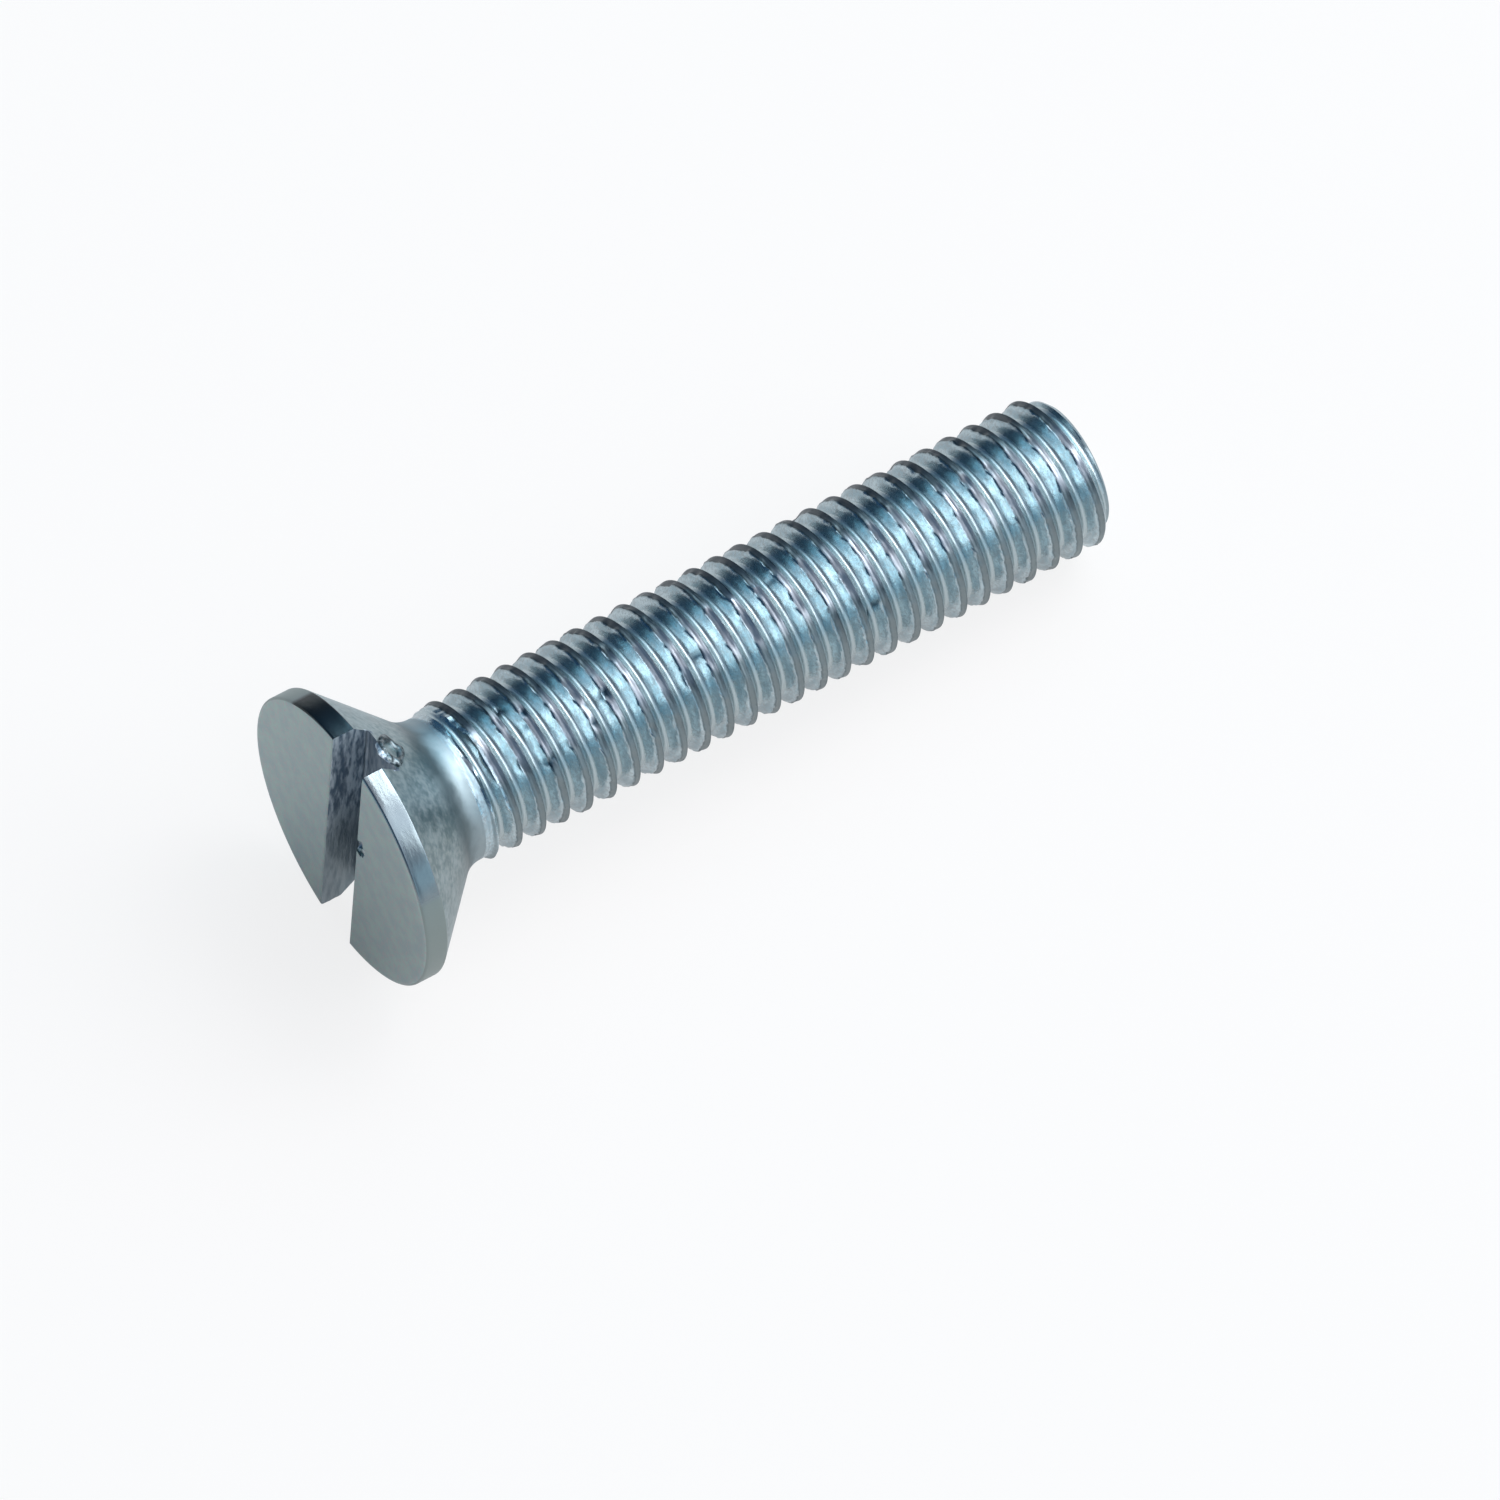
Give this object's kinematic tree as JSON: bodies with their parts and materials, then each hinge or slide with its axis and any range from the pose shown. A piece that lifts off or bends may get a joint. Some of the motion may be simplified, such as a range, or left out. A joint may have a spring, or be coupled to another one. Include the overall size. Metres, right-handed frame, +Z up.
{
  "type": "slotted countersunk machine screw",
  "caption": "Slotted countersunk flat-head machine screw in zinc-plated steel, threaded up to the head, with a chamfered point.",
  "frame": {"origin": "on the surface that the screw lies on, below the middle of its bounding box", "axes": "+Z up; +X along the screw from its head to its point, whose axis dips 5.1 degrees below +X because the head is wider than the thread; the driver slot stands upright in the XZ plane; +Y to the left of +X"},
  "size_m": [0.0254, 0.0092, 0.009],
  "materials": {
    "zinc_plating": "bright zinc-plated steel with a cool bluish passivated sheen"
  },
  "bodies": {
    "root": {"screw": "zinc_plating"}
  },
  "joints": []
}
